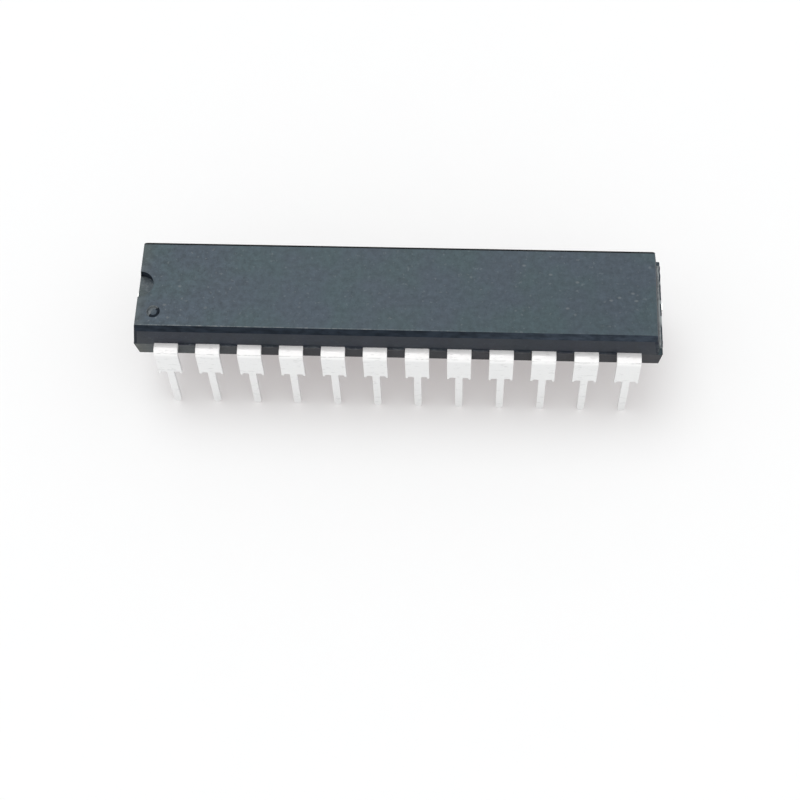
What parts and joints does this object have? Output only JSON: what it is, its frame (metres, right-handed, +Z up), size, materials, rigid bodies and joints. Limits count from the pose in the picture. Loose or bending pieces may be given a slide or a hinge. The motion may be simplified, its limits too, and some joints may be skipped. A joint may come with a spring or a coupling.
{
  "type": "dual in-line integrated circuit chip",
  "caption": "Plastic dual-in-line integrated circuit chip with bent tinned leads, an end notch and a pin 1 dimple.",
  "frame": {"origin": "on the surface that the lead tips stand on, under the middle of the lead pattern", "axes": "+X along the body from the notched end towards the plain end, +Y across the body from the row with pin 1 towards the other row, +Z up out of the top face"},
  "size_m": [0.0322, 0.0088, 0.0071],
  "materials": {
    "moulding": "fine matte moulding compound",
    "lead_frame": "satin tin plating on copper alloy",
    "adhesive": "silver-filled epoxy",
    "silicon": "polished silicon",
    "gold": "bright gold"
  },
  "bodies": {
    "root": {"body": "moulding", "die_paddle": "lead_frame", "die_attach": "adhesive", "die": "silicon", "lead_01": "lead_frame", "lead_02": "lead_frame", "lead_03": "lead_frame", "lead_04": "lead_frame", "lead_05": "lead_frame", "lead_06": "lead_frame", "lead_07": "lead_frame", "lead_08": "lead_frame", "lead_09": "lead_frame", "lead_10": "lead_frame", "lead_11": "lead_frame", "lead_12": "lead_frame", "lead_13": "lead_frame", "lead_14": "lead_frame", "lead_15": "lead_frame", "lead_16": "lead_frame", "lead_17": "lead_frame", "lead_18": "lead_frame", "lead_19": "lead_frame", "lead_20": "lead_frame", "lead_21": "lead_frame", "lead_22": "lead_frame", "lead_23": "lead_frame", "lead_24": "lead_frame", "bond_wire_01": "gold", "bond_wire_02": "gold", "bond_wire_03": "gold", "bond_wire_04": "gold", "bond_wire_05": "gold", "bond_wire_06": "gold", "bond_wire_07": "gold", "bond_wire_08": "gold", "bond_wire_09": "gold", "bond_wire_10": "gold", "bond_wire_11": "gold", "bond_wire_12": "gold", "bond_wire_13": "gold", "bond_wire_14": "gold", "bond_wire_15": "gold", "bond_wire_16": "gold", "bond_wire_17": "gold", "bond_wire_18": "gold", "bond_wire_19": "gold", "bond_wire_20": "gold", "bond_wire_21": "gold", "bond_wire_22": "gold", "bond_wire_23": "gold", "bond_wire_24": "gold"}
  },
  "joints": []
}
